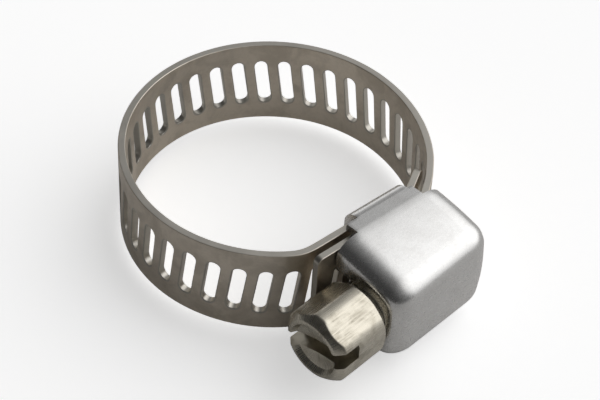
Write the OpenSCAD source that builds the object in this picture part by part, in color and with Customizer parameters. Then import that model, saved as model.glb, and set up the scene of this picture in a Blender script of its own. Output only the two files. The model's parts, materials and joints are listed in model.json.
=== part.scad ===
// Worm-drive hose clamp: a perforated steel band, a pressed housing and a slotted hex-head worm screw.
//
// The origin is on the hose axis, half way across the band, with +Z along the hose axis. The housing
// lies at -Y and the screw's head points to -X. "Out" in a name is a distance from the origin to -Y.
// The band is one springy strip on the real clamp. Here it is cut into links that hinge on each
// other, so that the ring can close as the screw draws the tail through the housing.

/* [Hose] */
// Diameter of the hose that the clamp is set to
hose_d = 23; // [19:0.5:30]
// Depth of the band's flat seat below the hose circle
seat_depth = 1.5; // [1.2:0.1:1.8]

/* [Band] */
// Width of the band
band_w = 8; // [7:0.25:11]
// Thickness of the band
band_t = 0.6; // [0.5:0.05:0.7]
// Distance from one slot to the next
slot_pitch = 1.97; // [1.8:0.01:2.2]
// Width of a slot
slot_w = 1.07; // [1:0.01:1.15]
// Length of a slot across the band
slot_l = 4.5; // [4:0.1:5]
// Lean of the slots, which follows the screw's thread
slot_lean = 7.3; // [6:0.1:9]
// Gap between the fixed end and the tail inside the housing
layer_gap = 0.45; // [0.4:0.05:0.6]
// Distance from the housing's middle plane to the corner where the tail enters
corner_x = 5.43; // [5:0.01:6]
// Length of the tail's free end outside the housing
tail_out = 1.9; // [1:0.1:3]
// Length of the fixed end's tongue inside the ring
tongue_l = 3.1; // [2:0.1:4]
// Slope of the tongue towards the hose
tongue_slope = 31; // [26:1:36]
// Bend between the two short links beside the housing
corner_bend = 8; // [4:1:12]
// Gap left between two long links
link_gap = 0.06; // [0.04:0.01:0.1]
// Gap left at the bends beside the housing
bend_gap = 0.34; // [0.3:0.01:0.4]
// Gap left where the ring is open, opposite the housing
open_gap = 0.3; // [0.2:0.05:0.5]

/* [Housing] */
// Length of the housing along the screw
shell_l = 10.5; // [10:0.1:13]
// Sheet thickness of the housing
shell_t = 0.7; // [0.6:0.05:0.8]
// Play between the band's edge and the housing's side wall
side_play = 0.15; // [0.1:0.05:0.3]
// Radius of the housing's crown edges
crown_r = 2; // [1.2:0.1:2.4]
// Lean of the side walls towards the crown
wall_lean = 11; // [6:1:14]
// Length of the lips folded round the band
lip_l = 5; // [4:0.2:6]
// Width of each lip under the band
lip_w = 1.7; // [1:0.1:2]

/* [Screw] */
// Slope of the screw, which lifts its head clear of the tail
screw_slope = 5.3; // [4.5:0.1:6]
// Distance from the tail to the screw's axis at the housing's middle
screw_out = 2.85; // [2.8:0.05:3.2]
// Radius over the thread
thread_r = 2.7; // [2.5:0.05:2.8]
// Radius of the screw's core
core_r = 1.95; // [1.8:0.05:2]
// Width of the thread at its crest
thread_crest = 0.42; // [0.3:0.01:0.5]
// Width of the thread at the core
thread_root = 0.8; // [0.7:0.01:0.9]
// Width across the head's flats
head_af = 5.7; // [5.5:0.05:5.8]
// Radius of the head's turned corners
head_r = 3.05; // [3:0.01:3.1]
// Length of the head
head_l = 4.9; // [4:0.1:6]
// Gap between the head and the housing
head_gap = 0.55; // [0.4:0.05:0.8]
// Width of the driver slot
drive_w = 1.3; // [1:0.1:1.5]
// Depth of the driver slot
drive_h = 1.9; // [1.2:0.1:2.2]
// Radius of the dished recess in the head
dish_r = 2.15; // [1.8:0.05:2.3]
// Length of the screw's tip beyond the thread
tip_l = 1.75; // [1.5:0.05:2.5]

/* [Hidden] */
$fn = 64;
steel = "#a9a49c";
bright = "#d6d6d8";
nickel = "#cfcabc";

// Levels, as distances out from the hose axis
seat_out = hose_d/2 - seat_depth;
fixed_mid = seat_out + band_t/2;
tail_mid = fixed_mid + band_t + layer_gap;
axis_out = tail_mid + screw_out;
axis_x = 2.7;

// The ring: the six long links share the slots between the housing's two sides
lead_ratio = 1.13;
seat_bends = 12;
nominal_r = hose_d/2 + band_t/2;
ring_slots = round((360 - 2*acos(fixed_mid/nominal_r) - seat_bends)/360
                   *2*PI*nominal_r/slot_pitch);
function slots_in(i) = floor((i + 1)*ring_slots/6) - floor(i*ring_slots/6);
function slots_before(i) = floor(i*ring_slots/6);
function polar(r, a) = r*[cos(a), sin(a)];
function left_angle(r) = 180 + asin(fixed_mid/r);
function lead_start(r) = left_angle(r) - slots_before(5)*slot_pitch/r*180/PI;
function lead_centre(r) = polar(r*(1 - lead_ratio), lead_start(r));
function lead_end_angle(r) = lead_start(r) - slots_in(5)*slot_pitch/(r*lead_ratio)*180/PI;
function lead_end(r) = lead_centre(r) + polar(r*lead_ratio, lead_end_angle(r));
tail_corner = [corner_x, -tail_mid];
bend_reach = 2*slot_pitch*cos(corner_bend/2);
// The ring's radius is the one at which the band meets the tail's corner
function ring_radius(low, high, steps) =
    steps == 0 ? (low + high)/2 :
    norm(lead_end((low + high)/2) - tail_corner) > bend_reach
        ? ring_radius(low, (low + high)/2, steps - 1)
        : ring_radius((low + high)/2, high, steps - 1);
ring_r = ring_radius(0.94*nominal_r, 1.06*nominal_r, 30);
lead_r = ring_r*lead_ratio;
left_corner = polar(ring_r, left_angle(ring_r));
bend_end = lead_end(ring_r);
bend_way = (tail_corner - bend_end)/norm(tail_corner - bend_end);
bend_mid = (bend_end + tail_corner)/2
    + slot_pitch*sin(corner_bend/2)*[-bend_way[1], bend_way[0]];

// Half the stretch of band that one leaning slot needs
slot_reach = slot_w/2 + (slot_l - slot_w)/2*sin(slot_lean) + 0.05;

// The tail: its corner is on a web, and its free end stands out past the housing
shell_shift = 1;
shell_near = -shell_l/2 - shell_shift;
near_x = axis_x + shell_near;
tail_end_x = near_x - tail_out;
tongue_x = 4.8;

// The housing
knee_room = 0.25;
crown_room = 0.1;
shell_w = band_w/2 + side_play + shell_t;
knee_out = tail_mid + band_t/2 + knee_room;
crown_out = thread_r + crown_room + shell_t;
shell_far = shell_near + shell_l;
lip_t = 0.6;
lip_x = 1.7;

// The screw, measured along its own axis from the middle of the housing
axis_pitch = slot_pitch*cos(screw_slope);
near_room = 0.25;
far_room = 0.15;
chamfer_w = 0.45;
dish_h = 0.4;
thread_near = shell_near + shell_t + near_room;
thread_far = shell_far - shell_t - far_room;
head_near = shell_near - head_gap;
journal_r = 2.15;
tip_r = 1.35;
run_play = 0.06;
drive_turn = 14;
function along_axis(x) = (x - axis_x + tan(screw_slope)*screw_out)*cos(screw_slope);

// Places its children at the middle of the housing on the screw's axis, with +Z towards the tip
module on_screw() {
    translate([axis_x, -axis_out, 0]) rotate([0, 0, screw_slope]) rotate([0, 90, 0]) children();
}

// One slanted slot with round ends, cut along Y
module slot() {
    rotate([0, slot_lean, 0]) {
        cube([slot_w, 3*band_t, slot_l - slot_w], center = true);
        for (end = [-1, 1])
            translate([0, 0, end*(slot_l - slot_w)/2])
                rotate([90, 0, 0]) cylinder(d = slot_w, h = 3*band_t, center = true, $fn = 32);
    }
}

// A flat length of band from x0 to x1 at the level out, with slots counted from slot_x
module flat_band(x0, x1, out, slot_x) {
    first = ceil((x0 + slot_reach - slot_x)/slot_pitch - 0.5);
    last = floor((x1 - slot_reach - slot_x)/slot_pitch - 0.5);
    difference() {
        translate([x0, -out - band_t/2, -band_w/2]) cube([x1 - x0, band_t, band_w]);
        for (i = [first:last]) translate([slot_x + (i + 0.5)*slot_pitch, -out, 0]) slot();
    }
}

// A curved length of band about centre, from the polar angle start clockwise, with count slots
module curved_band(centre, r, start, count, gap_start, gap_end) {
    step = slot_pitch/r*180/PI;
    a0 = start - gap_start/r*180/PI;
    a1 = start - count*step + gap_end/r*180/PI;
    translate([centre[0], centre[1], 0]) difference() {
        rotate([0, 0, a1]) rotate_extrude(angle = a0 - a1, $fn = 96)
            translate([r - band_t/2, -band_w/2]) square([band_t, band_w]);
        for (i = [0:count - 1])
            rotate([0, 0, start - (i + 0.5)*step + 90]) translate([0, -r, 0]) slot();
    }
}

// A straight length of band with one slot, from the point a to the point b
module short_band(a, b) {
    way = b - a;
    translate([a[0], a[1], 0]) rotate([0, 0, atan2(way[1], way[0])]) difference() {
        translate([bend_gap/2, -band_t/2, -band_w/2])
            cube([norm(way) - bend_gap, band_t, band_w]);
        translate([norm(way)/2, 0, 0]) slot();
    }
}

// Link number i of the ring, counted from the fixed end
module ring_link(i) {
    start = left_angle(ring_r) - slots_before(i)*slot_pitch/ring_r*180/PI;
    if (i == 5)
        curved_band(lead_centre(ring_r), lead_r, lead_start(ring_r), slots_in(5),
                    link_gap/2, bend_gap/2);
    else
        curved_band([0, 0], ring_r, start, slots_in(i),
                    i == 0 ? bend_gap/2 : i == 3 ? open_gap/2 : link_gap/2,
                    i == 2 ? open_gap/2 : link_gap/2);
}

// Cross-section of the housing about the screw's axis, drawn in by inset, with Y towards the hose
module shell_section(inset) {
    r = crown_r - inset;
    top = crown_out - inset;
    half = shell_w - inset;
    knee = axis_out - knee_out;
    base = 3*axis_out;
    cx = half - (r + (knee + top - r)*sin(wall_lean))/cos(wall_lean);
    edge = [cx + r*cos(wall_lean), r - top - r*sin(wall_lean)];
    polygon([[-cx, -top], [cx, -top], edge, [half, knee], [half, base], [-half, base],
             [-half, knee], [-edge[0], edge[1]]]);
    for (side = [-1, 1]) translate([side*cx, r - top]) circle(r);
}

// The pressed sheet housing, with its end walls, side walls and the lips under the band
module housing() {
    base_out = seat_out - lip_t;
    far_x = axis_x + shell_far + 1;
    open_w = band_w + 2*side_play;
    color(bright) {
        difference() {
            on_screw() translate([0, 0, shell_near])
                linear_extrude(shell_l) shell_section(0);
            on_screw() translate([0, 0, shell_near + shell_t])
                linear_extrude(shell_l - 2*shell_t) shell_section(shell_t);
            // everything below the lips
            translate([-hose_d, -base_out, -hose_d]) cube([2*hose_d, 4*hose_d, 2*hose_d]);
            // the passage for the band
            translate([near_x - 3, -knee_out, -open_w/2])
                cube([far_x - near_x + 6, knee_out, open_w]);
            // relief notches at both ends of the lips
            for (x = [near_x - 3, lip_x + lip_l/2])
                translate([x, -fixed_mid - band_t/2, -hose_d])
                    cube([lip_x - lip_l/2 - near_x + 3, hose_d, 2*hose_d]);
            // the arch round the screw's neck and the hole for its tip
            on_screw() translate([0, 0, shell_near - 1])
                cylinder(r = journal_r + run_play, h = shell_t + 2);
            on_screw() translate([-journal_r - run_play, 0, shell_near - 1])
                cube([2*(journal_r + run_play), 6, shell_t + 2]);
            on_screw() translate([0, 0, shell_far - shell_t - 1])
                cylinder(r = tip_r + run_play, h = shell_t + 2);
        }
        for (side = [-1, 1])
            translate([lip_x, lip_t/2 - seat_out, side*(shell_w - (lip_w + shell_t)/2)])
                cube([lip_l, lip_t, lip_w + shell_t], center = true);
    }
}

// Cross-section of the core with one thread's tooth at the angle 0
module thread_section() {
    crest = thread_crest/axis_pitch*180;
    root = thread_root/axis_pitch*180;
    facets = 9;
    polygon(concat(
        [for (a = [-crest, 0, crest]) polar(thread_r, a)],
        [for (i = [0:facets]) polar(core_r, root + i*(360 - 2*root)/facets)]));
}

// The worm screw: slotted hex head, neck, right-hand thread and tip
module screw() {
    turns = (thread_far - thread_near)/axis_pitch;
    slot_s = along_axis(corner_x - 0.5*slot_pitch);
    first_angle = 90 - 360*(slot_s - thread_near)/axis_pitch;
    color(nickel) on_screw() {
        difference() {
            intersection() {
                translate([0, 0, head_near - head_l])
                    cylinder(d = head_af/cos(30), h = head_l, $fn = 6);
                translate([0, 0, head_near - head_l])
                    cylinder(r = head_r, h = head_l);
                translate([0, 0, head_near - head_l])
                    cylinder(r1 = head_r - chamfer_w, r2 = head_r - chamfer_w + head_l, h = head_l);
            }
            rotate([0, 0, -drive_turn])
                translate([-drive_w/2, -hose_d, head_near - head_l - 1])
                    cube([drive_w, 2*hose_d, drive_h + 1]);
            translate([0, 0, head_near - head_l - 1]) cylinder(r = dish_r, h = dish_h + 1);
        }
        translate([0, 0, head_near - 1]) cylinder(r = journal_r, h = thread_near - head_near + 1);
        translate([0, 0, thread_far - 1]) cylinder(r = tip_r, h = tip_l + 1);
        translate([0, 0, thread_near]) rotate([0, 0, first_angle])
            linear_extrude(thread_far - thread_near, twist = -360*turns,
                           slices = ceil(24*turns), $fn = 12) thread_section();
    }
}

// The end of the band that the housing's lips hold
module band_fixed_end() {
    color(steel) flat_band(left_corner[0] + bend_gap/2, tongue_x - link_gap/2, fixed_mid,
                           left_corner[0]);
}

// The fixed end's tongue, which slopes towards the hose under the tail
module band_end_tongue() {
    corner = 1.2;
    color(steel) translate([tongue_x, -fixed_mid, 0]) rotate([0, 0, tongue_slope])
        rotate([90, 0, 0]) translate([0.7*bend_gap, 0, -band_t/2]) linear_extrude(band_t) {
            translate([0, -band_w/2]) square([tongue_l - corner, band_w]);
            translate([0, corner - band_w/2]) square([tongue_l, band_w - 2*corner]);
            for (side = [-1, 1])
                translate([tongue_l - corner, side*(band_w/2 - corner)]) circle(corner);
        }
}

// The tail, which the screw draws through the housing
module band_tail() {
    color(steel) flat_band(tail_end_x, corner_x - bend_gap/2, tail_mid, corner_x);
}

module band_bend_1() {
    color(steel) short_band(tail_corner, bend_mid);
}

module band_bend_2() {
    color(steel) short_band(bend_mid, bend_end);
}

housing();
screw();
band_fixed_end();
band_end_tongue();
band_tail();
band_bend_1();
band_bend_2();
color(steel) ring_link(0);  // band_link_1
color(steel) ring_link(1);  // band_link_2
color(steel) ring_link(2);  // band_link_3
color(steel) ring_link(3);  // band_link_4
color(steel) ring_link(4);  // band_link_5
color(steel) ring_link(5);  // band_link_6
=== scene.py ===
import json
import math

import bmesh
import bpy
import numpy as np
from mathutils import Matrix, Vector


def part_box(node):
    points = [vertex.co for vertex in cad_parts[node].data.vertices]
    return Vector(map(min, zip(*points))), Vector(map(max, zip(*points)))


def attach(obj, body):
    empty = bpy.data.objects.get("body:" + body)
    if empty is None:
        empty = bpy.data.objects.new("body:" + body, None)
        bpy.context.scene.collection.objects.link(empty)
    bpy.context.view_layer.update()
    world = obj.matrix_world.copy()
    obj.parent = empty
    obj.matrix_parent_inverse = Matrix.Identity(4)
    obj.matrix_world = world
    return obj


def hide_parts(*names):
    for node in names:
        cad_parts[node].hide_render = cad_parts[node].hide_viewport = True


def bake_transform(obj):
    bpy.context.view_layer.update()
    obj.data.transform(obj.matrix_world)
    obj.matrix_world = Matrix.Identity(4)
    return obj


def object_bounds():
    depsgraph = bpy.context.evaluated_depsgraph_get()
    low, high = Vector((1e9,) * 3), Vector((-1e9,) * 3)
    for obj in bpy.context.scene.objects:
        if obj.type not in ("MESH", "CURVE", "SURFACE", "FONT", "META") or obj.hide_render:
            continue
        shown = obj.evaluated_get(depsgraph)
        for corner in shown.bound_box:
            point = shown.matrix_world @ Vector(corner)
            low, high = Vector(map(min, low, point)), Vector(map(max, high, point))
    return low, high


bl_info = {
    "name": "Worm-drive hose clamp",
    "version": (1, 0, 0),
    "blender": (4, 5, 0),
    "location": "View3D > Sidebar > Clamp",
    "description": "Builds the band, housing and screw of a worm-drive hose clamp around its CAD frame",
    "category": "Object",
}

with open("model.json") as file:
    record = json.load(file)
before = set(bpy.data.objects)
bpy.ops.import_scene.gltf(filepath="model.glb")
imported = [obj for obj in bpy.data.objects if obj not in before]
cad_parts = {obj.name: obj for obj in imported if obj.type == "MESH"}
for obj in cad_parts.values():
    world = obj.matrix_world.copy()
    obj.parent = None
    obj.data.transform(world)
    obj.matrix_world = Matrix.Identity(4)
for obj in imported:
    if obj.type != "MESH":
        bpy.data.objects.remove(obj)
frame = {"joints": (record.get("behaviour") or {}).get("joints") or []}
CAD_LOW, CAD_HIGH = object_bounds()

MM = 0.001
SHARP_EDGE = math.radians(38)
JOINTS = {joint["name"]: joint for joint in frame["joints"]}


def joint_point(name):
    """Where a joint stands in the ring's plane, in millimetres."""
    return np.array(JOINTS[name]["pos_m"][:2], float)/MM


def box_size(node, axis):
    """The size of a CAD node's box along one axis, in metres."""
    low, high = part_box(node)
    return high[axis] - low[axis]


BAND_WIDTH = box_size("band_tail", 2)
BAND_THICKNESS = box_size("band_tail", 1)
SHELL_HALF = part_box("housing")[1][2]


def length(text, default, low=0.0, high=0.05):
    """A size in metres that the sidebar shows."""
    return bpy.props.FloatProperty(description=text, default=default, min=low, max=high, unit="LENGTH",
                                   subtype="DISTANCE", precision=5)


def angle(text, default):
    """An angle given in degrees."""
    return bpy.props.FloatProperty(description=text, default=math.radians(default), subtype="ANGLE",
                                   unit="ROTATION")


def colour(text, default):
    """A colour in linear light."""
    return bpy.props.FloatVectorProperty(description=text, default=default, size=3, min=0.0, max=1.0,
                                         subtype="COLOR")


def share(text, default, high=1.0):
    """A plain number from 0 up."""
    return bpy.props.FloatProperty(description=text, default=default, min=0.0, max=high)


class ClampBandSettings(bpy.types.PropertyGroup):
    """Sizes of the slotted strip"""
    width: length("Width of the band", BAND_WIDTH)
    thickness: length("Thickness of the band", BAND_THICKNESS)
    slot_width: length("Width of a slot", 0.00107)
    slot_length: length("Length of a slot across the band", 0.0045)
    slot_lean: angle("Lean of the slots, which follows the thread", 7.3)
    edge: length("Rounding of the punched edges", 0.00007)
    tongue_slope: angle("Slope of the fixed end's tongue", 31.0)
    tongue_length: length("Length of the fixed end's tongue", 0.0031)
    tongue_corner: length("Radius of the tongue's corners", 0.0012)
    tail_corner: length("Radius of the corners of the tail's free end", 0.0005)
    corner_ease: length("Length over which the corner beside the head eases", 0.0016)
    bend_ease: length("Length over which the other bends ease", 0.0008)


class ClampHousingSettings(bpy.types.PropertyGroup):
    """Sizes of the pressed shell"""
    sheet: length("Thickness of the sheet", 0.0007)
    shell_length: length("Length along the screw", 0.0105)
    shift: length("How far the shell stands towards the head", 0.0010)
    crown_height: length("From the screw's axis to the crown", 0.0035)
    crown_radius: length("Radius of the crown's edges", 0.0020)
    crown_dome: length("Rise of the crown's middle over its edges", 0.00012)
    wall_lean: angle("Lean of the side walls towards the crown", 11.0)
    wall_bulge: length("How far the side walls swell between their edges", 0.00008)
    near_fold: length("How far the fold beside the head draws in", 0.0013)
    near_reach: length("Length of that fold along the screw", 0.0020)
    far_fold: length("How far the fold at the far end draws in", 0.0016)
    far_reach: length("Length of that fold along the screw", 0.0020)
    lip_fold: length("Radius of the lips' fold", 0.0012)
    lip_width: length("Width of each lip under the band", 0.0017)
    lip_start: length("Where the lips start", -0.0008, low=-0.05)
    lip_end: length("Where the lips end", 0.0042)
    edge: length("Rounding of the sheet's cut edges", 0.00013)


class ClampScrewSettings(bpy.types.PropertyGroup):
    """Sizes of the screw"""
    across_flats: length("Width across the head's flats", 0.0057)
    head_radius: length("Radius of the head's turned corners", 0.00305)
    head_length: length("Length of the head", 0.0049)
    head_gap: length("Gap between the head and the housing", 0.00055)
    chamfer: length("Width of the chamfer at the head's end", 0.00065)
    dish_radius: length("Radius of the dished recess", 0.00215)
    dish_depth: length("Depth of the dished recess", 0.0005)
    drive_width: length("Width of the driver slot", 0.0013)
    drive_depth: length("Depth of the driver slot", 0.0019)
    drive_turn: angle("Turn of the driver slot at rest", 14.0)
    neck_radius: length("Radius of the neck", 0.00215)
    core_radius: length("Radius of the thread's core", 0.00195)
    thread_radius: length("Radius over the thread", 0.0027)
    tip_radius: length("Radius of the tip", 0.00135)
    tip_length: length("Length of the tip", 0.00175)


class ClampFinishSettings(bpy.types.PropertyGroup):
    """Colours of the metals and the floor"""
    band: colour("Satin band steel", (0.80, 0.725, 0.62))
    band_dark: colour("Darker patches on the band", (0.64, 0.575, 0.485))
    band_edge: colour("Sheared edges of the band", (0.52, 0.505, 0.465))
    housing: colour("Satin housing steel", (0.74, 0.735, 0.725))
    housing_dark: colour("Greyer patches on the housing", (0.68, 0.672, 0.66))
    screw: colour("Yellowish bright plating", (0.64, 0.60, 0.51))
    screw_dark: colour("Darker tool lines on the screw", (0.30, 0.27, 0.21))
    floor: colour("Pale studio floor", (0.93, 0.93, 0.93))
    floor_dull: colour("What the metal sees of the floor", (0.80, 0.79, 0.78))


class ClampStageSettings(bpy.types.PropertyGroup):
    """The camera, the light and the floor"""
    lens: share("Focal length of the camera in millimetres", 109.8, 500.0)
    sky: share("Brightness of the soft light", 1.0, 5.0)
    glow: share("How far the floor is lifted towards white", 0.55, 5.0)
    floor_half: length("Half the floor's side", 0.6, high=5.0)


# ---------------------------------------------------------------- shared mesh helpers

def unit(v):
    """v at length one."""
    v = np.asarray(v, float)
    return v/np.maximum(np.linalg.norm(v, axis=-1, keepdims=True), 1e-12)


def make_object(name, points, faces, normals=None, uvs=None, edge=None):
    """A mesh object from points in millimetres. Each face is a list of corners; normals has one per corner
    and turns each face to agree with it."""
    points = np.asarray(points, float)
    if normals is not None:
        turned, kept = [], []
        for face, corner in zip(faces, normals):
            ring = points[face]
            flat = np.sum(np.cross(ring, np.roll(ring, -1, axis=0)), axis=0)
            if flat @ np.sum(corner, axis=0) < 0:
                face, corner = face[::-1], corner[::-1]
            turned.append(list(face))
            kept.extend(corner)
        faces = turned
    mesh = bpy.data.meshes.new(name)
    mesh.from_pydata([tuple(p) for p in points*MM], [], [list(f) for f in faces])
    if uvs is not None:
        layer = mesh.uv_layers.new(name="strip")
        corners = np.zeros(len(mesh.loops), np.int32)
        mesh.loops.foreach_get("vertex_index", corners)
        layer.data.foreach_set("uv", np.asarray(uvs, np.float32)[corners].ravel())
    if edge is not None:
        worn = mesh.attributes.new("edge", "FLOAT", "POINT")
        worn.data.foreach_set("value", np.asarray(edge, np.float32))
    mesh.polygons.foreach_set("use_smooth", [True]*len(mesh.polygons))
    if normals is not None:
        mesh.normals_split_custom_set([tuple(n) for n in kept])
    mesh.update()
    made = bpy.data.objects.new(name, mesh)
    bpy.context.scene.collection.objects.link(made)
    return made


def bake_modifiers(made):
    """Turns the modifiers of an object into its mesh, and evens its shading between sharp edges."""
    graph = bpy.context.evaluated_depsgraph_get()
    graph.update()
    mesh = bpy.data.meshes.new_from_object(made.evaluated_get(graph), depsgraph=graph)
    made.modifiers.clear()
    made.data = mesh
    mesh.set_sharp_from_angle(angle=SHARP_EDGE)
    add_modifier(made, "WEIGHTED_NORMAL", keep_sharp=True, weight=50)
    graph.update()
    made.data = bpy.data.meshes.new_from_object(made.evaluated_get(bpy.context.evaluated_depsgraph_get()))
    made.modifiers.clear()
    return made


def add_modifier(made, kind, **values):
    """One modifier with its settings."""
    modifier = made.modifiers.new(kind.title(), kind)
    for key, value in values.items():
        setattr(modifier, key, value)
    return modifier


# ---------------------------------------------------------------- the band

class BandPath:
    """The strip's mid-line in the ring's plane, in millimetres. The length s is 0 at the corner beside the
    head, grows round the ring to the tail's free end, and is negative along the fixed end."""

    STEP = 0.02            # between points of the mid-line
    MARGIN = 3.0           # of mid-line past both ends
    SPREAD = 0.1           # either side of a point for its direction
    RING_END, LEAD_END, SEAT_START, TAIL_START = 25, 30, 31, 32    # in slot pitches

    def __init__(self, band):
        self.corner = joint_point("link_1_bend")
        self.lead_in = joint_point("link_5_bend")
        self.lead_out = joint_point("link_6_bend")
        self.bend = joint_point("tail_bend_2")
        self.tail = joint_point("tail_bend_1")
        self.tongue = joint_point("tongue_bend")
        self.pitch = float(np.linalg.norm(self.tail - self.bend))
        self.radius = float(np.linalg.norm(self.corner))
        self.start = math.atan2(self.corner[1], self.corner[0])
        out = unit(self.lead_in)
        reach = self.lead_out - self.radius*out
        self.lead_radius = -float(reach @ reach)/(2*float(reach @ out))
        self.lead_centre = (self.radius - self.lead_radius)*out
        self.lead_start = math.atan2(out[1], out[0])
        self.slope = band.tongue_slope
        self.fixed = float(self.tongue[0] - self.corner[0])
        self.low = -self.fixed - band.tongue_length/MM
        tail_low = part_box("band_tail")[0][0]/MM
        self.high = self.TAIL_START*self.pitch + float(self.tail[0]) - tail_low
        s = np.arange(self.low - self.MARGIN, self.high + self.MARGIN, self.STEP)
        raw = np.array([self.raw(x) for x in s])
        eased = self.ease(raw, band.bend_ease/MM)
        soft = self.ease(raw, band.corner_ease/MM)
        # the corner beside the head is eased further than the other bends
        near = np.clip(1.5 - np.abs(s)/2.0, 0, 1)[:, None]
        near = near*near*(3 - 2*near)
        self.s = s
        self.points = eased*(1 - near) + soft*near

    def raw(self, s):
        """The mid-line before its bends are eased."""
        p = self.pitch
        if s < -self.fixed:
            return self.tongue - (s + self.fixed)*np.array([math.cos(self.slope), math.sin(self.slope)])
        if s < 0:
            return self.corner - np.array([s, 0.0])
        if s < self.RING_END*p:
            turn = self.start - s/self.radius
            return self.radius*np.array([math.cos(turn), math.sin(turn)])
        if s < self.LEAD_END*p:
            turn = self.lead_start - (s - self.RING_END*p)/self.lead_radius
            return self.lead_centre + self.lead_radius*np.array([math.cos(turn), math.sin(turn)])
        if s < self.SEAT_START*p:
            return self.lead_out + (s/p - self.LEAD_END)*(self.bend - self.lead_out)
        if s < self.TAIL_START*p:
            return self.bend + (s/p - self.SEAT_START)*(self.tail - self.bend)
        return self.tail - np.array([s - self.TAIL_START*p, 0.0])

    def ease(self, raw, span):
        """A moving average of the mid-line, taken twice."""
        count = max(3, int(span/self.STEP) | 1)
        kernel = np.ones(count)/count
        made = raw
        for _ in range(2):
            padded = np.vstack([made[:1] + (made[:1] - made[1:2])*np.arange(count, 0, -1)[:, None],
                                made,
                                made[-1:] + (made[-1:] - made[-2:-1])*np.arange(1, count + 1)[:, None]])
            made = np.column_stack([np.convolve(padded[:, i], kernel, "same") for i in range(2)])
            made = made[count:-count]
        return made

    def at(self, s):
        """Points, directions along the strip and outward normals at the lengths s."""
        s = np.asarray(s, float)
        here, ahead, behind = [
            np.column_stack([np.interp(s + step, self.s, self.points[:, i]) for i in range(2)])
            for step in (0.0, self.SPREAD, -self.SPREAD)]
        way = unit(ahead - behind)
        return here, way, np.column_stack([-way[:, 1], way[:, 0]])


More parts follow.
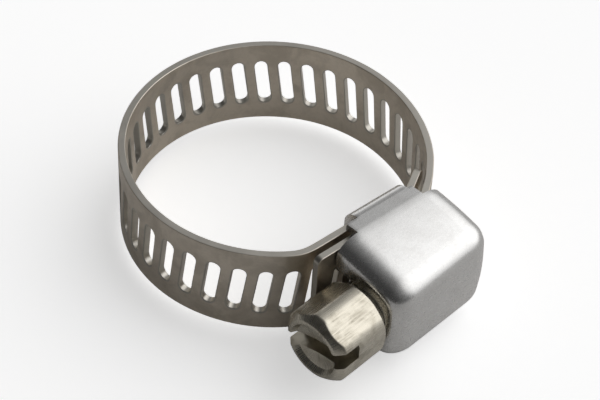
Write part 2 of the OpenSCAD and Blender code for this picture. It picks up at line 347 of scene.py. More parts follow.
class StripMesh:
    """A stretch of the strip, gathered in the strip's own lengths: along, across and out."""

    SIDE_STEPS = 10                    # along a slot's straight side
    END_STEPS = 8                      # round a slot's end
    CORNER_STEPS = 10                  # round a corner of the strip
    PLAIN_STEP = 0.22                  # along a stretch with no slots
    RINGS = (0.0, 0.12, 0.5, 1.0)      # rows of corners between a slot and its cell's outline
    CUT = 0.1                          # from a cell's middle line to its cut

    def __init__(self, path, band):
        self.path = path
        self.half_w = band.width/MM/2
        self.half_t = band.thickness/MM/2
        self.edge = band.edge/MM
        self.slot_w = band.slot_width/MM
        self.slot_l = band.slot_length/MM
        self.lean = band.slot_lean
        self.face_w = self.half_w - self.edge
        self.wall_t = self.half_t - self.edge
        self.found = {}
        self.points, self.normals, self.worn = [], [], []
        self.faces, self.caps = [], []

    def add(self, s, z, n, normal, worn):
        """The index of a corner, made once for each place."""
        key = (round(s, 4), round(z, 4), round(n, 4))
        if key not in self.found:
            self.found[key] = len(self.points)
            self.points.append((s, z, n))
            self.normals.append(normal)
            self.worn.append(worn)
        return self.found[key]

    def quads(self, first, second, closed=False, cap=None):
        """Faces between two rows of corners."""
        count = len(first) if closed else len(first) - 1
        for i in range(count):
            j = (i + 1) % len(first)
            corners = [first[i], first[j], second[j], second[i]]
            if len(set(corners)) >= 3:
                self.faces.append(list(dict.fromkeys(corners)))
                self.caps.append(cap)

    def slot_outline(self, middle, grow):
        """The slot's outline, from the near bottom of its far side round to the start, with its normals."""
        straight = (self.slot_l - self.slot_w)/2
        r = self.slot_w/2 + grow
        local = [(r, z, 1.0, 0.0) for z in np.linspace(-straight, straight, self.SIDE_STEPS + 1)]
        turns = np.linspace(0, math.pi, self.END_STEPS + 1)[1:-1]
        local += [(r*math.cos(a), straight + r*math.sin(a), math.cos(a), math.sin(a)) for a in turns]
        local += [(-x, -z, -u, -v) for x, z, u, v in local]
        c, d = math.cos(self.lean), math.sin(self.lean)
        return [(middle + x*c - z*d, x*d + z*c, u*c - v*d, u*d + v*c) for x, z, u, v in local]

    def cell_outline(self, low, high):
        """The cell's outline, matched point for point to the slot's outline."""
        sides = np.linspace(-self.face_w, self.face_w, self.SIDE_STEPS + 1)
        ends = np.linspace(high, low, self.END_STEPS + 1)[1:-1]
        made = [(high, z) for z in sides] + [(s, self.face_w) for s in ends]
        return made + [(low, z) for z in sides[::-1]] + [(s, -self.face_w) for s in ends[::-1]]

    def slot_cell(self, k):
        """One slot and the webs round it."""
        p = self.path.pitch
        low, high = k*p + self.CUT, (k + 1)*p + self.CUT
        middle = (k + 0.5)*p
        hole = self.slot_outline(middle, 0.0)
        rim = self.slot_outline(middle, self.edge)
        outer = self.cell_outline(low, high)
        side = self.SIDE_STEPS
        walls = []
        for way in (1, -1):
            rows = []
            for ring in self.RINGS:
                rows.append([self.add(a[0] + (b[0] - a[0])*ring, a[1] + (b[1] - a[1])*ring,
                                      way*self.half_t, (0, 0, way), 1.0 if ring == 0 else 0.0)
                             for a, b in zip(rim, outer)])
            for first, second in zip(rows, rows[1:]):
                self.quads(first, second, closed=True)
            wall = [self.add(s, z, way*self.wall_t, (-u, -v, 0), 1.0) for s, z, u, v in hole]
            self.quads(rows[0], wall, closed=True)
            walls.append(wall)
            for top in (1, -1):
                start = side if top == 1 else side + len(outer)//2
                picks = [(start + i) % len(outer) for i in range(self.END_STEPS + 1)]
                self.band_edge([outer[i][0] for i in picks], [rows[-1][i] for i in picks], top, way)
        self.quads(walls[0], walls[1], closed=True)

    def band_edge(self, lengths, face_row, top, way, half=None, tilt=None):
        """The rounding of the band's edge beside one row of the face, and its share of the edge wall."""
        half = half or [self.half_w]*len(lengths)
        tilt = tilt or [0.0]*len(lengths)
        walls = [[self.add(s, top*h, level*self.wall_t, (t, top*math.sqrt(max(0.0, 1 - t*t)), 0), 1.0)
                  for s, h, t in zip(lengths, half, tilt)] for level in (way, -1)]
        self.quads(face_row, walls[0])
        if way == 1:
            self.quads(*walls)

    def plain(self, low, high, corner, end):
        """A stretch with no slots, whose corners are rounded at its low end (-1) or its high end (1)."""
        tip = low if end < 0 else high
        inner = tip - end*corner
        count = max(2, int((high - low)/self.PLAIN_STEP) + 1)
        straight = [s for s in np.linspace(low, high, count) if (s - inner)*end < -0.05]
        turns = np.linspace(0, math.pi/2, self.CORNER_STEPS)
        lengths = sorted(straight + [inner + end*corner*math.sin(a) for a in turns])
        half, tilt = [], []
        for s in lengths:
            over = min(max(0.0, (s - inner)*end), corner)
            half.append(self.half_w - corner + math.sqrt(corner*corner - over*over))
            tilt.append(end*over/corner)
        flat = [s if abs(s - tip) > 1e-6 else s - end*self.edge for s in lengths]
        flat = sorted(flat) if end > 0 else flat
        rows = np.linspace(-1, 1, self.SIDE_STEPS + 1)
        last = -1 if end > 0 else 0
        tips = []
        for way in (1, -1):
            columns = [[self.add(s, z*(h - self.edge), way*self.half_t, (0, 0, way), 0.0) for z in rows]
                       for s, h in zip(flat, half)]
            for first, second in zip(columns, columns[1:]):
                self.quads(first, second)
            for top, pick in ((1, -1), (-1, 0)):
                self.band_edge(lengths, [column[pick] for column in columns], top, way, half, tilt)
            tips.append([self.add(tip, z*half[last], way*self.wall_t, (end, 0, 0), 1.0) for z in rows])
            self.quads(columns[last], tips[-1])
        self.quads(*tips)

    def cap(self, s, way):
        """The flat cut at s, hidden against the next stretch."""
        rows = list(np.linspace(-self.face_w, self.face_w, self.SIDE_STEPS + 1))
        top = [self.add(s, z, self.half_t, (0, 0, 1), 0.0) for z in rows]
        under = [self.add(s, z, -self.half_t, (0, 0, -1), 0.0) for z in rows]
        self.quads(top, under, cap=way)
        for side, pick in ((1, -1), (-1, 0)):
            upper = self.add(s, side*self.half_w, self.wall_t, (0, side, 0), 1.0)
            lower = self.add(s, side*self.half_w, -self.wall_t, (0, side, 0), 1.0)
            self.faces.append([top[pick], upper, lower, under[pick]])
            self.caps.append(way)

    def build(self, name):
        """The stretch as an object, wrapped along the strip's mid-line."""
        local = np.array(self.points)
        here, way, out = self.path.at(local[:, 0])
        flat = here + out*local[:, 2:3]
        points = np.column_stack([flat, local[:, 1]])
        tilt = np.array(self.normals, float)
        normals = unit(np.column_stack([way*tilt[:, :1] + out*tilt[:, 2:3], tilt[:, 1]]))
        corners = []
        for face, cap in zip(self.faces, self.caps):
            if cap is None:
                corners.append([normals[i] for i in face])
            else:
                corners.append([np.array([*(way[i]*cap), 0.0]) for i in face])
        return make_object(name, points, self.faces, corners, local[:, :2], self.worn)


# name, first and last slot cell, body before the bend, body after it, the bend's stretch as
# (pitches, millimetres) at each end, and the CAD nodes that the stretch stands for
STRIPS = (
    ("band_tongue", None, -2, "tongue", "clamp_base", None, ("band_end_tongue", "band_fixed_end")),
    ("band_corner", -2, 2, "clamp_base", "link_1", ((0, -0.8), (0, 0.8)), ("band_link_1",)),
    ("band_side_1", 2, 7, "link_1", "link_2", ((5, -0.8), (5, 0.8)), ("band_link_2",)),
    ("band_side_2", 7, 12, "link_2", "link_3", ((10, -0.8), (10, 0.8)), ("band_link_3",)),
    ("band_back_1", 12, 15, "link_3", None, None, ()),
    ("band_back_2", 15, 18, "link_4", None, None, ("band_link_4",)),
    ("band_side_3", 18, 22, "link_4", "link_5", ((20, -0.8), (20, 0.8)), ("band_link_5",)),
    ("band_side_4", 22, 27, "link_5", "link_6", ((25, -0.8), (25, 0.8)), ("band_link_6",)),
    ("band_lead_1", 27, 30, "link_6", "bend_2", ((29, 0.2), (30, 0.1)), ("band_bend_2",)),
    ("band_lead_2", 30, 31, "bend_2", "bend_1", ((30, 1.07), (31, 0.1)), ("band_bend_1",)),
    ("band_tail_end", 31, None, "bend_1", "tail", ((31, 0.15), (32, 1.9)), ("band_tail",)),
)
FIXED_SLOTS = 5
LAST_SLOT = 37


class CLAMP_OT_band(bpy.types.Operator):
    """Build the slotted strip, from its tongue round the ring to the tail"""
    bl_idname = "clamp.band"
    bl_label = "Band"

    def execute(self, context):
        band = context.scene.clamp_band
        path = BandPath(band)
        steel = band_steel(context.scene.clamp_finish)
        for name, first, last, before, after, zone, nodes in STRIPS:
            strip = StripMesh(path, band)
            if first is None:
                strip.plain(path.low, -FIXED_SLOTS*path.pitch + strip.CUT, band.tongue_corner/MM, -1)
                cells = range(-FIXED_SLOTS, last)
            else:
                strip.cap(first*path.pitch + strip.CUT, -1)
                cells = range(first, LAST_SLOT if last is None else last)
            for k in cells:
                strip.slot_cell(k)
            if last is None:
                strip.plain(LAST_SLOT*path.pitch + strip.CUT, path.high, band.tail_corner/MM, 1)
            else:
                strip.cap(last*path.pitch + strip.CUT, 1)
            piece = strip.build(name)
            piece.data.materials.append(steel)
            if after is None:
                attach(piece, before)
            else:
                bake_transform(piece)
            if nodes:
                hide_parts(*nodes)
        return {"FINISHED"}


# ---------------------------------------------------------------- the screw's axis

class ScrewAxis:
    """The screw's axis, with lengths in millimetres: across, towards the hose and along to the tip."""

    def __init__(self):
        joint = JOINTS["screw_turn"]
        self.middle = np.array(joint["pos_m"], float)/MM
        self.along = unit(joint["axis"])
        self.hoseward = unit(np.cross([0.0, 0.0, 1.0], self.along))
        self.across = np.array([0.0, 0.0, -1.0])

    def place(self, local):
        """Points given as across, hoseward and along, in the row frame."""
        local = np.asarray(local, float)
        return (self.middle + local[..., 0:1]*self.across + local[..., 1:2]*self.hoseward
                + local[..., 2:3]*self.along)

    def hoseward_at(self, y, along):
        """The hoseward length of the level y at a place along the axis."""
        return (y - self.middle[1] - along*self.along[1])/self.hoseward[1]

    def along_at(self, x, hoseward):
        """The length along the axis of the plane x."""
        return (x - self.middle[0] - hoseward*self.hoseward[0])/self.along[0]


# ---------------------------------------------------------------- the housing

def shell_ends(shell):
    """The shell's near and far ends along the screw's axis, in millimetres."""
    near = -shell.shell_length/MM/2 - shell.shift/MM
    return near, near + shell.shell_length/MM


class HousingShell:
    """The outer surface of the pressed shell, as a grid of an outline swept from end to end."""

    CROWN_STEPS, ARC_STEPS, WALL_STEPS, SIDE_STEPS, FOLD_STEPS, LIP_STEPS = 7, 9, 7, 5, 7, 4
    NEAR_STEPS, FAR_STEPS = 9, 7       # along the end folds
    LENGTH_STEPS = (4, 16, 7)          # before, along and past the lips
    PASSAGE = 11.78        # from the ring's axis to the passage for the tail
    NOTCH = 10.62          # from the ring's axis to the relief notches beside the lips
    LIP_LEVEL = 3.7        # from the screw's axis to the level at which the lips' ends are measured
    MOUTH_GAP = 0.06       # round the screw in the openings of the end walls
    MOUTH_SHARES = (0.25, 0.5, 0.75, 1.0)

    def __init__(self, shell, screw):
        self.shell = shell
        self.axis = ScrewAxis()
        self.half = SHELL_HALF/MM
        self.near, self.far = shell_ends(shell)
        self.top = shell.crown_height/MM
        self.lips_low = -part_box("housing")[1][1]/MM
        self.mouth_near = screw.neck_radius/MM + self.MOUTH_GAP
        self.mouth_far = screw.tip_radius/MM + self.MOUTH_GAP

    def outline(self, inset, along):
        """Half the outline from the crown's middle to the lip: across, hoseward and the row's kind."""
        shell = self.shell
        r = shell.crown_radius/MM - inset
        lean = shell.wall_lean
        top, half = self.top - inset, self.half - inset
        knee = self.axis.hoseward_at(-self.PASSAGE, along)
        cx = half - (r + (knee + top - r)*math.sin(lean))/math.cos(lean)
        dome = shell.crown_dome/MM
        made = [(cx*t, -top - dome*(1 - t*t), "shell") for t in np.linspace(0, 1, self.CROWN_STEPS + 1)]
        for a in np.linspace(0, math.pi/2 - lean, self.ARC_STEPS + 1)[1:]:
            made.append((cx + r*math.sin(a), r - top - r*math.cos(a), "shell"))
        edge = made[-1]
        for t in np.linspace(0, 1, self.WALL_STEPS + 1)[1:]:
            bulge = 4*t*(1 - t)*shell.wall_bulge/MM
            made.append((edge[0] + (half - edge[0])*t + bulge*math.cos(lean),
                         edge[1] + (knee - edge[1])*t - bulge*math.sin(lean), "shell"))
        notch = self.axis.hoseward_at(-self.NOTCH, along)
        for t in np.linspace(0, 1, self.SIDE_STEPS + 1)[1:]:
            made.append((half, knee + (notch - knee)*t, "side"))
        fold = shell.lip_fold/MM
        low = self.axis.hoseward_at(-self.lips_low, along)
        for a in np.linspace(0, math.pi/2, self.FOLD_STEPS + 1):
            made.append((half - fold + fold*math.cos(a), low - fold + fold*math.sin(a), "lip"))
        inner = half - shell.sheet/MM - shell.lip_width/MM
        for t in np.linspace(0, 1, self.LIP_STEPS + 1)[1:]:
            made.append((half - fold + (inner - half + fold)*t, low, "lip"))
        return made

    def mouth(self, outline, radius):
        """The arched opening, matched point for point to the outline."""
        made = []
        for a, b, kind in outline:
            if b < 0:
                turn = math.atan2(a, -b)
                made.append((radius*math.sin(turn), -radius*math.cos(turn), kind))
            else:
                made.append((radius, b, kind))
        return made

    def rows(self):
        """The rows from the near opening to the far one: along, inset, share towards the opening, opening."""
        shell = self.shell
        near_r, far_r = shell.near_fold/MM, shell.far_fold/MM
        near_l, far_l = shell.near_reach/MM, shell.far_reach/MM
        made = [(self.near, near_r, t, self.mouth_near) for t in self.MOUTH_SHARES[::-1]]
        for a in np.linspace(math.pi/2, 0, self.NEAR_STEPS + 1):
            made.append((self.near + near_l*(1 - math.sin(a)), near_r*(1 - math.cos(a)), 0.0, 0.0))
        lip = [self.axis.along_at(x/MM, self.LIP_LEVEL) for x in (shell.lip_start, shell.lip_end)]
        stops = [self.near + near_l, lip[0], lip[1], self.far - far_l]
        for (low, high), count in zip(zip(stops, stops[1:]), self.LENGTH_STEPS):
            made += [(s, 0.0, 0.0, 0.0) for s in np.linspace(low, high, count + 1)[1:]]
        for a in np.linspace(0, math.pi/2, self.FAR_STEPS + 1)[1:]:
            made.append((self.far - far_l*(1 - math.sin(a)), far_r*(1 - math.cos(a)), 0.0, 0.0))
        made += [(self.far, far_r, t, self.mouth_far) for t in self.MOUTH_SHARES]
        return made, lip

    def build(self):
        """The outer surface as an object, open where the sheet is cut away."""
        rows, lip = self.rows()
        points, uvs, kinds, grid = [], [], [], []
        for along, inset, share, radius in rows:
            half = self.outline(inset, along)
            if share:
                mouth = self.mouth(half, radius)
                half = [(a + (c - a)*share, b + (d - b)*share, kind)
                        for (a, b, kind), (c, d, _) in zip(half, mouth)]
            full = [(-a, b, kind) for a, b, kind in half[:0:-1]] + half
            places = self.axis.place([(a, b, along) for a, b, _ in full])
            walk = np.concatenate([[0], np.cumsum(np.linalg.norm(np.diff(places, axis=0), axis=1))])
            grid.append(range(len(points), len(points) + len(full)))
            points.extend(places)
            uvs.extend((along, w - walk[-1]/2) for w in walk)
            kinds = [kind for _, _, kind in full]
        faces = []
        for i in range(len(rows) - 1):
            flat = all(row[1] == 0 and row[2] == 0 for row in rows[i:i + 2])
            in_lip = lip[0] - 1e-6 <= rows[i][0] and rows[i + 1][0] <= lip[1] + 1e-6
            for j in range(len(kinds) - 1):
                pair = {kinds[j], kinds[j + 1]}
                if "side" in pair and not flat or "lip" in pair and not (flat and in_lip):
                    continue
                faces.append([grid[i][j], grid[i + 1][j], grid[i + 1][j + 1], grid[i][j + 1]])
        used = sorted({i for face in faces for i in face})
        renumber = {old: new for new, old in enumerate(used)}
        faces = [[renumber[i] for i in face] for face in faces]
        points = np.array(points)[used]
        middle = self.axis.place([(0, 0, (self.near + self.far)/2)])[0]
        crown = faces[len(faces)//2]
        flat = np.cross(points[crown[1]] - points[crown[0]], points[crown[2]] - points[crown[0]])
        if flat @ (points[crown[0]] - middle) < 0:
            faces = [face[::-1] for face in faces]
        return make_object("housing_shell", points, faces, uvs=np.array(uvs)[used])


class CLAMP_OT_housing(bpy.types.Operator):
    """Build the pressed sheet housing with its folded lips"""
    bl_idname = "clamp.housing"
    bl_label = "Housing"

    def execute(self, context):
        scene = context.scene
        shell = scene.clamp_housing
        piece = HousingShell(shell, scene.clamp_screw).build()
        add_modifier(piece, "SOLIDIFY", thickness=shell.sheet, offset=-1.0, use_even_offset=True,
                     use_quality_normals=True)
        add_modifier(piece, "BEVEL", width=shell.edge, segments=3, limit_method="ANGLE",
                     angle_limit=math.radians(50), harden_normals=False, use_clamp_overlap=True)
        bake_modifiers(piece)
        piece.data.materials.append(housing_steel(scene.clamp_finish))
        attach(piece, "clamp_base")
        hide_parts("housing")
        return {"FINISHED"}


# ---------------------------------------------------------------- the screw

ROUND_SCALE = 3.0      # of the texture round a turned body, to the radian
PAST_HEAD = 9.0        # a radius past the head, which the head's own size cuts down


def revolve(name, axis, rows, radius_at, turns=144):
    """A closed round body along the screw's axis. Each row is a place along the axis and its radius."""
    uvs, faces = [], []
    steps = np.linspace(0, 2*math.pi, turns, endpoint=False)
    local = []
    for s, r in rows:
        for a in steps:
            size = radius_at(s, r, a)
            local.append((size*math.cos(a), size*math.sin(a), s))
            uvs.append((s, a*ROUND_SCALE))
    points = axis.place(local)
    for i in range(len(rows) - 1):
        for j in range(turns):
            k = (j + 1) % turns
            faces.append([i*turns + j, i*turns + k, (i + 1)*turns + k, (i + 1)*turns + j])
    first = list(range(turns))[::-1]
    last = list(range((len(rows) - 1)*turns, len(rows)*turns))
    faces += [first, last]
    return make_object(name, points, faces, uvs=uvs)


def soft_min(values, ease):
    """The least of some sizes, with the change from one to the next eased."""
    values = np.asarray(values, float)
    low = values.min()
    return low - ease*math.log(float(np.sum(np.exp(-(values - low)/ease))))


def tidy_normals(made):
    """Turns the faces of a closed mesh outwards."""
    work = bmesh.new()
    work.from_mesh(made.data)
    bmesh.ops.recalc_face_normals(work, faces=work.faces)
    work.to_mesh(made.data)
    work.free()


class CLAMP_OT_screw(bpy.types.Operator):
    """Build the worm screw with its slotted hexagon head"""
    bl_idname = "clamp.screw"
    bl_label = "Screw"

    # Lengths in millimetres. The first two are places of rows from the head's end and from its base
    CHAMFER_ROWS = (0.04, 0.1, 0.18, 0.26, 0.34, 0.42, 0.5, 0.6, 0.75)
    BASE_ROWS = (0.4, 0.3, 0.22, 0.14, 0.07, 0.0)
    FLAT_ROWS, THREAD_ROWS, THREAD_TURNS = 8, 190, 96
    BASE_CHAMFER, BASE_SLOPE = 0.3, 1.2
    EASE, WORN_EDGE = 0.015, 0.07          # of the head's edges
    CUTTER_HALF, CUTTER_BACK = 5, 1        # half the cutter's length, and its reach past the head
    ROOT_HALF, FLANK, RUN_OUT = 0.42, 0.2, 0.3     # of the thread
    THREAD_GAPS = (0.25, 0.15)             # from the end walls to the thread

    def head(self, screw, axis, base):
        """The head: hexagon with turned corners, chamfer, dish and driver slot."""
        end = base - screw.head_length/MM
        flat, round_r = screw.across_flats/MM/2, screw.head_radius/MM
        chamfer, dish, depth = screw.chamfer/MM, screw.dish_radius/MM, screw.dish_depth/MM
        face = round_r - chamfer

        def size(s, r, a):
            sector = (a % (math.pi/3)) - math.pi/6
            hexagon = flat/math.cos(sector)
            if r < face + 0.02:
                return r
            slopes = face + 0.05 + (s - end), round_r - self.BASE_CHAMFER + (base - s)*self.BASE_SLOPE
            return soft_min([hexagon, round_r, *slopes], self.EASE)

        # the dish from its middle out, the flat rim, the chamfer and the flats, and the turned base
        rows = [(end + depth + 0.12, 0.02), (end + depth + 0.06, dish*0.3), (end + depth, dish*0.62),
                (end + depth - 0.05, dish*0.8), (end + depth - 0.10, dish - 0.22),
                (end + 0.04, dish), (end, dish + 0.05), (end, face - 0.04), (end + 0.01, face)]
        rows += [(end + d, PAST_HEAD) for d in self.CHAMFER_ROWS]
        rows += [(s, PAST_HEAD) for s in np.linspace(end + 1.0, base - 0.6, self.FLAT_ROWS)]
        rows += [(base - d, PAST_HEAD) for d in self.BASE_ROWS]
        rows += [(base + 0.002, screw.neck_radius/MM - 0.2)]
        head = revolve("screw_head", axis, rows, size)
        cutter_w, cutter_h = screw.drive_width/MM/2, screw.drive_depth/MM
        sine, cosine = math.sin(screw.drive_turn), math.cos(screw.drive_turn)
        along, beside = np.array([sine, cosine]), np.array([cosine, -sine])
        corners = [(*(u*cutter_w*beside + v*self.CUTTER_HALF*along), s)
                   for s in (end - self.CUTTER_BACK, end + cutter_h)
                   for u, v in ((-1, -1), (1, -1), (1, 1), (-1, 1))]
        box_faces = [[0, 1, 2, 3], [7, 6, 5, 4], [0, 4, 5, 1], [1, 5, 6, 2], [2, 6, 7, 3], [3, 7, 4, 0]]
        cutter = make_object("driver_cutter", axis.place(corners), box_faces)
        cutter.data.polygons.foreach_set("use_smooth", [False]*6)
        for made in (head, cutter):
            tidy_normals(made)
        add_modifier(head, "BOOLEAN", operation="DIFFERENCE", object=cutter, solver="EXACT")
        add_modifier(head, "BEVEL", width=self.WORN_EDGE*MM, segments=2, limit_method="ANGLE",
                     angle_limit=math.radians(42), use_clamp_overlap=True)
        bake_modifiers(head)
        bpy.data.objects.remove(cutter)
        return head

    def shaft(self, screw, axis, shell, base):
        """The neck, the helical thread and the tip."""
        near, far = shell_ends(shell)
        start, stop = near + shell.sheet/MM + self.THREAD_GAPS[0], far - shell.sheet/MM - self.THREAD_GAPS[1]
        core, crest = screw.core_radius/MM, screw.thread_radius/MM
        tail_x, tail_y = joint_point("tail_bend_1")
        pitch = np.linalg.norm(joint_point("tail_bend_1") - joint_point("tail_bend_2"))
        lead = pitch*axis.along[0]
        slot_at = axis.along_at(tail_x - pitch/2, axis.hoseward_at(tail_y, 0.0))

        def size(s, r, a):
            if not start <= s <= stop or r < core - 0.01:
                return r
            turn = (s - slot_at)/lead - (a - math.pi/2)/(2*math.pi)
            off = abs(turn - round(turn))*lead
            rise = min(1.0, max(0.0, (self.ROOT_HALF - off)/self.FLANK))
            ends = min(1.0, (s - start)/self.RUN_OUT, (stop - s)/self.RUN_OUT)
            return core + (crest - core)*rise*max(0.0, ends)

        neck, tip = screw.neck_radius/MM, screw.tip_radius/MM
        rows = [(base - 0.3, neck), (base - 0.1, neck), (start - 0.15, neck), (start - 0.01, core)]
        rows += [(s, core) for s in np.linspace(start, stop, self.THREAD_ROWS)]
        rows += [(stop + 0.02, core - 0.02), (stop + 0.1, tip)]
        tip_end = stop + screw.tip_length/MM
        rows += [(tip_end - 0.35, tip), (tip_end - 0.12, tip - 0.08), (tip_end - 0.02, tip - 0.28)]
        rows += [(tip_end, tip - 0.5)]
        shaft = revolve("screw_thread", axis, rows, size, turns=self.THREAD_TURNS)
        tidy_normals(shaft)
        return bake_modifiers(shaft)

    def execute(self, context):
        scene = context.scene
        screw, shell = scene.clamp_screw, scene.clamp_housing
        axis = ScrewAxis()
        base = shell_ends(shell)[0] - screw.head_gap/MM
        plating = screw_plating(scene.clamp_finish)
        for piece in (self.head(screw, axis, base), self.shaft(screw, axis, shell, base)):
            piece.data.materials.append(plating)
            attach(piece, "screw")
            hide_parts("screw")
        return {"FINISHED"}


# ---------------------------------------------------------------- materials

class Nodes:
    """A short way to add nodes to one tree and join them."""

    def __init__(self, tree):
        self.tree = tree

    def add(self, kind, inputs=None, **settings):
        """A node by its kind, with or without the usual prefix."""
        node = self.tree.nodes.new(kind if kind.startswith("Node") else "ShaderNode" + kind)
        for key, value in settings.items():
            setattr(node, key, value)
        for key, value in (inputs or {}).items():
            self.set(node.inputs[key], value)
        return node

    def set(self, socket, value):
        """Joins a socket to another one, or gives it a constant."""
        if isinstance(value, bpy.types.NodeSocket):
            self.tree.links.new(value, socket)
        else:
            socket.default_value = value


def new_group(name, defaults, outputs):
    """A shader node group that takes a vector and numbers, and gives numbers."""
    tree = bpy.data.node_groups.new(name, "ShaderNodeTree")
    tree.interface.new_socket("Vector", in_out="INPUT", socket_type="NodeSocketVector")
    for label, value in defaults.items():
        socket = tree.interface.new_socket(label, in_out="INPUT", socket_type="NodeSocketFloat")
        socket.default_value = value
    for label in outputs:
        tree.interface.new_socket(label, in_out="OUTPUT", socket_type="NodeSocketFloat")
    nodes = Nodes(tree)
    return tree, nodes, nodes.add("NodeGroupInput"), nodes.add("NodeGroupOutput")


def brushed_lines(name):
    """Fine lines drawn along the first axis of a vector, as a height and a tone."""
    tree, nodes, given, out = new_group(name, {"Along": 0.6, "Across": 18.0, "Grit": 9.0},
                                        ("Height", "Tone"))
    scale = nodes.add("CombineXYZ", {0: given.outputs["Along"], 1: given.outputs["Across"],
                                     2: given.outputs["Across"]})
    drawn = nodes.add("VectorMath", {0: given.outputs["Vector"], 1: scale.outputs[0]},
                      operation="MULTIPLY")
    lines = nodes.add("TexNoise", {"Vector": drawn.outputs[0], "Scale": 1.0, "Detail": 3.0,
                                   "Roughness": 0.6})
    grit = nodes.add("TexNoise", {"Vector": given.outputs["Vector"], "Scale": given.outputs["Grit"],
                                  "Detail": 4.0, "Roughness": 0.7})
    both = nodes.add("Math", {0: lines.outputs["Fac"], 1: grit.outputs["Fac"]}, operation="ADD")
    half = nodes.add("Math", {0: both.outputs[0], 1: 0.5}, operation="MULTIPLY")
    tone = nodes.add("MapRange", {"Value": lines.outputs["Fac"], "From Min": 0.3, "From Max": 0.7})
    nodes.set(out.inputs["Height"], half.outputs[0])
    nodes.set(out.inputs["Tone"], tone.outputs[0])
    return tree


def handling_stains(name):
    """Soft irregular patches, as a mask."""
    tree, nodes, given, out = new_group(name, {"Scale": 0.4, "Low": 0.4, "High": 0.7}, ("Mask",))
    noise = nodes.add("TexNoise", {"Vector": given.outputs["Vector"], "Scale": given.outputs["Scale"],
                                   "Detail": 5.0, "Roughness": 0.62, "Distortion": 0.4})
    mask = nodes.add("MapRange", {"Value": noise.outputs["Fac"], "From Min": given.outputs["Low"],
                                  "From Max": given.outputs["High"]}, interpolation_type="SMOOTHSTEP")
    nodes.set(out.inputs["Mask"], mask.outputs[0])
    return tree


def use_group(nodes, build, **values):
    """One use of a node group, which is built the first time that it is used."""
    tree = bpy.data.node_groups.get(build.__name__) or build(build.__name__)
    node = nodes.add("Group", node_tree=tree)
    for key, value in values.items():
        nodes.set(node.inputs[key], value)
    return node


def steel_material(name, in_strip, lines, stains):
    """A metal with its drawn lines, which follow the strip or the body, and its stains."""
    made = bpy.data.materials.new(name)
    made.use_nodes = True
    nodes = Nodes(made.node_tree)
    shader = made.node_tree.nodes["Principled BSDF"]
    shader.inputs["Metallic"].default_value = 1.0
    coordinates = nodes.add("TexCoord")
    body = nodes.add("VectorMath", {0: coordinates.outputs["Object"], "Scale": 1/MM},
                     operation="SCALE").outputs[0]
    strip = coordinates.outputs["UV"] if in_strip else body
    drawn = use_group(nodes, brushed_lines, Vector=strip, **lines)
    patches = use_group(nodes, handling_stains, Vector=body, **stains)
    return made, nodes, shader, body, drawn, patches


def finish_metal(nodes, shader, drawn, tone, roughness, bump):
    """Joins a colour, the roughness of the drawn lines and their bump to a metal."""
    nodes.set(shader.inputs["Base Color"], tone)
    rough = nodes.add("MapRange", {"Value": drawn.outputs["Tone"], "To Min": roughness[0],
                                   "To Max": roughness[1]})
    nodes.set(shader.inputs["Roughness"], rough.outputs[0])
    relief = nodes.add("Bump", {"Height": drawn.outputs["Height"], "Strength": bump[0],
                                "Distance": bump[1]})
    nodes.set(shader.inputs["Normal"], relief.outputs[0])


def mix(nodes, share_of, first, second):
    """A colour between two colours."""
    node = nodes.add("Mix", {0: share_of, 6: first, 7: second}, data_type="RGBA")
    return node.outputs[2]


def rgba(value):
    """A colour with full alpha."""
    return (*value, 1.0)


def band_steel(finish):
    """Satin band steel with bright sheared edges, stains and fine lines along the strip."""
    made, nodes, shader, body, drawn, stains = steel_material(
        "band_satin_steel", True, {"Along": 0.35, "Across": 9.0, "Grit": 7.0},
        {"Scale": 0.42, "Low": 0.42, "High": 0.68})
    fine = use_group(nodes, handling_stains, Vector=body, Scale=2.4, Low=0.45, High=0.75)
    tone = mix(nodes, stains.outputs["Mask"], rgba(finish.band), rgba(finish.band_dark))
    speck = nodes.add("Math", {0: fine.outputs["Mask"], 1: 0.35}, operation="MULTIPLY")
    tone = mix(nodes, speck.outputs[0], tone, rgba(finish.band_dark))
    worn = nodes.add("Attribute", attribute_name="edge")
    rub = nodes.add("MapRange", {"Value": worn.outputs["Fac"], "From Min": 0.35, "From Max": 1.0,
                                 "To Max": 0.8})
    tone = mix(nodes, rub.outputs[0], tone, rgba(finish.band_edge))
    finish_metal(nodes, shader, drawn, tone, (0.30, 0.46), (0.35, 0.00002))
    return made


def housing_steel(finish):
    """Bright satin sheet, faintly grained, with greyer patches."""
    made, nodes, shader, _, drawn, stains = steel_material(
        "housing_satin_steel", False, {"Along": 4.0, "Across": 5.0, "Grit": 16.0},
        {"Scale": 0.5, "Low": 0.4, "High": 0.75})
    tone = mix(nodes, stains.outputs["Mask"], rgba(finish.housing), rgba(finish.housing_dark))
    finish_metal(nodes, shader, drawn, tone, (0.20, 0.31), (0.14, 0.00003))
    return made


def screw_plating(finish):
    """Bright yellowish plating with tool lines along the axis."""
    made, nodes, shader, _, drawn, stains = steel_material(
        "screw_bright_plating", True, {"Along": 0.5, "Across": 7.0, "Grit": 10.0},
        {"Scale": 0.7, "Low": 0.42, "High": 0.7})
    both = nodes.add("Math", {0: drawn.outputs["Tone"], 1: stains.outputs["Mask"]}, operation="MULTIPLY")
    tone = mix(nodes, both.outputs[0], rgba(finish.screw), rgba(finish.screw_dark))
    finish_metal(nodes, shader, drawn, tone, (0.20, 0.38), (0.30, 0.00003))
    return made


# ---------------------------------------------------------------- the stage

# The soft lights: the way to the middle of each, and its brightness by how closely a direction faces it
WINDOW_WAY = (0.75, -0.30, 0.59)
WINDOW_LIGHT = ((0.0, 0.05), (0.30, 0.11), (0.54, 0.20), (0.64, 0.34), (0.75, 0.85), (0.82, 1.15),
                (0.92, 1.5))
BACK_WAY = (0.47, 0.88, -0.02)
BACK_LIGHT = ((0.70, 0.0), (0.87, 0.16), (0.98, 0.90))


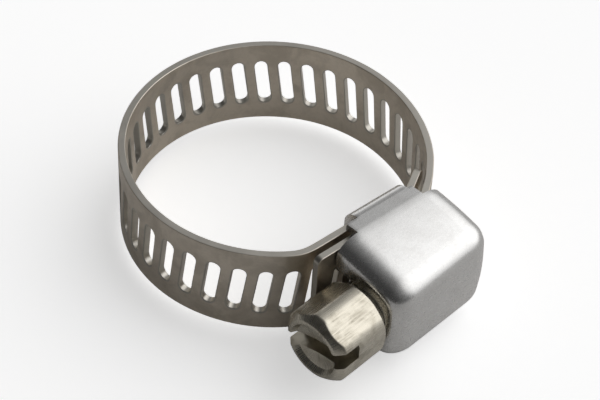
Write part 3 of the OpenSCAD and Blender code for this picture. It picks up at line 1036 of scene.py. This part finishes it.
# The camera's place in millimetres, the way it looks and the way to its right
CAMERA_PLACE = (-68.2, -76.5, 102.3)
CAMERA_WAY = (0.4776, 0.5119, -0.7139)
CAMERA_RIGHT = (0.760, -0.648, 0.0438)
# The floor that the metal sees falls off towards the head, a painted shade in the metal's reflections: from
# and to in metres, with its share there
FLOOR_REFLECTION_PAINTED_SHADE = ((-0.018, 0.8), (0.018, 1.1))


class CLAMP_OT_stage(bpy.types.Operator):
    """Build the pale floor, the soft light and the camera"""
    bl_idname = "clamp.stage"
    bl_label = "Stage"

    def execute(self, context):
        scene = context.scene
        self.floor(scene.clamp_stage, scene.clamp_finish)
        scene.world = self.light(scene.clamp_stage)
        scene.camera = self.camera(scene.clamp_stage)
        scene.view_settings.view_transform = "Standard"
        return {"FINISHED"}

    def floor(self, stage, finish):
        """A floor that the camera sees as pale, and that the metal sees as duller, with painted shade towards
        the head.
        """
        half, level = stage.floor_half/MM, CAD_LOW[2]/MM
        floor = make_object("studio_floor", [(-half, -half, level), (half, -half, level),
                                             (half, half, level), (-half, half, level)], [[0, 1, 2, 3]])
        made = bpy.data.materials.new("pale_floor")
        made.use_nodes = True
        tree = made.node_tree
        nodes = Nodes(tree)
        shader = tree.nodes["Principled BSDF"]
        grain = nodes.add("TexNoise", {"Scale": 40.0, "Detail": 2.0})
        shade = mix(nodes, grain.outputs["Fac"], rgba(finish.floor), rgba([c*0.995 for c in finish.floor]))
        nodes.set(shader.inputs["Base Color"], shade)
        nodes.set(shader.inputs["Emission Color"], shade)
        for key, value in (("Emission Strength", stage.glow), ("Roughness", 0.9),
                           ("Specular IOR Level", 0.0)):
            shader.inputs[key].default_value = value
        coordinates = nodes.add("TexCoord")
        places = nodes.add("SeparateXYZ", {0: coordinates.outputs["Object"]})
        # painted shade: what the metal sees of the floor is darkened towards the head
        (near, near_share), (far, far_share) = FLOOR_REFLECTION_PAINTED_SHADE
        painted_shade_ramp = nodes.add("MapRange", {"Value": places.outputs["X"], "From Min": near, "From Max": far,
                                         "To Min": near_share, "To Max": far_share})
        bounce = nodes.add("VectorMath", {0: finish.floor_dull, "Scale": painted_shade_ramp.outputs[0]},
                           operation="SCALE")
        dull = nodes.add("BsdfDiffuse", {"Color": bounce.outputs[0]})
        ray = nodes.add("LightPath")
        either = nodes.add("MixShader", {0: ray.outputs["Is Camera Ray"], 1: dull.outputs[0],
                                         2: shader.outputs[0]})
        nodes.set(tree.nodes["Material Output"].inputs["Surface"], either.outputs[0])
        floor.data.materials.append(made)

    def light(self, stage):
        """A world with one soft window and a dimmer light behind the ring."""
        world = bpy.data.worlds.new("soft_studio")
        world.use_nodes = True
        nodes = Nodes(world.node_tree)
        sky = world.node_tree.nodes["Background"]
        where = nodes.add("TexCoord")
        parts = []
        for way, levels in ((WINDOW_WAY, WINDOW_LIGHT), (BACK_WAY, BACK_LIGHT)):
            facing = nodes.add("VectorMath", {0: where.outputs["Generated"], 1: way},
                               operation="DOT_PRODUCT")
            ramp = nodes.add("ValToRGB", {"Fac": facing.outputs["Value"]})
            stops = ramp.color_ramp.elements
            stops[0].position, stops[1].position = levels[0][0], levels[-1][0]
            for place, _ in levels[1:-1]:
                stops.new(place)
            for stop, (_, level) in zip(stops, levels):
                stop.color = rgba([level*stage.sky]*3)
            parts.append(ramp.outputs["Color"])
        both = nodes.add("VectorMath", dict(enumerate(parts)), operation="ADD")
        nodes.set(sky.inputs["Color"], both.outputs[0])
        sky.inputs["Strength"].default_value = 1.0
        return world

    def camera(self, stage):
        """A long lens above the head's end."""
        camera = bpy.data.objects.new("camera", bpy.data.cameras.new("camera"))
        bpy.context.scene.collection.objects.link(camera)
        camera.data.lens = stage.lens
        camera.data.sensor_width = 36.0
        camera.data.clip_start, camera.data.clip_end = 0.005, 10.0
        back = -unit(CAMERA_WAY)
        right = unit(CAMERA_RIGHT)
        right = unit(right - back*float(right @ back))
        up = np.cross(back, right)
        camera.matrix_world = Matrix([[right[i], up[i], back[i], CAMERA_PLACE[i]*MM] for i in range(3)]
                                     + [[0, 0, 0, 1]])
        return camera


class CLAMP_PT_panel(bpy.types.Panel):
    """The clamp's settings in the sidebar"""
    bl_label = "Hose clamp"
    bl_space_type = "VIEW_3D"
    bl_region_type = "UI"
    bl_category = "Clamp"

    def draw(self, context):
        for group, operator in GROUPS:
            box = self.layout.box()
            settings = getattr(context.scene, group)
            for name in settings.bl_rna.properties.keys():
                if name not in ("rna_type", "name"):
                    box.prop(settings, name, text=name.replace("_", " ").capitalize())
            if operator:
                box.operator(operator)


GROUPS = (("clamp_band", "clamp.band"), ("clamp_housing", "clamp.housing"),
          ("clamp_screw", "clamp.screw"), ("clamp_finish", None), ("clamp_stage", "clamp.stage"))
CLASSES = (ClampBandSettings, ClampHousingSettings, ClampScrewSettings, ClampFinishSettings,
           ClampStageSettings, CLAMP_OT_band, CLAMP_OT_housing, CLAMP_OT_screw, CLAMP_OT_stage,
           CLAMP_PT_panel)


def register():
    """Adds the settings, the operators and the panel."""
    for item in CLASSES:
        bpy.utils.register_class(item)
    for (name, _), kind in zip(GROUPS, CLASSES):
        setattr(bpy.types.Scene, name, bpy.props.PointerProperty(type=kind))


def unregister():
    """Takes them away again."""
    for name, _ in GROUPS:
        delattr(bpy.types.Scene, name)
    for item in reversed(CLASSES):
        bpy.utils.unregister_class(item)


def main():
    """Builds the whole scene."""
    register()
    bpy.ops.clamp.band()
    bpy.ops.clamp.housing()
    bpy.ops.clamp.screw()
    bpy.ops.clamp.stage()


if __name__ == "__main__":
    main()
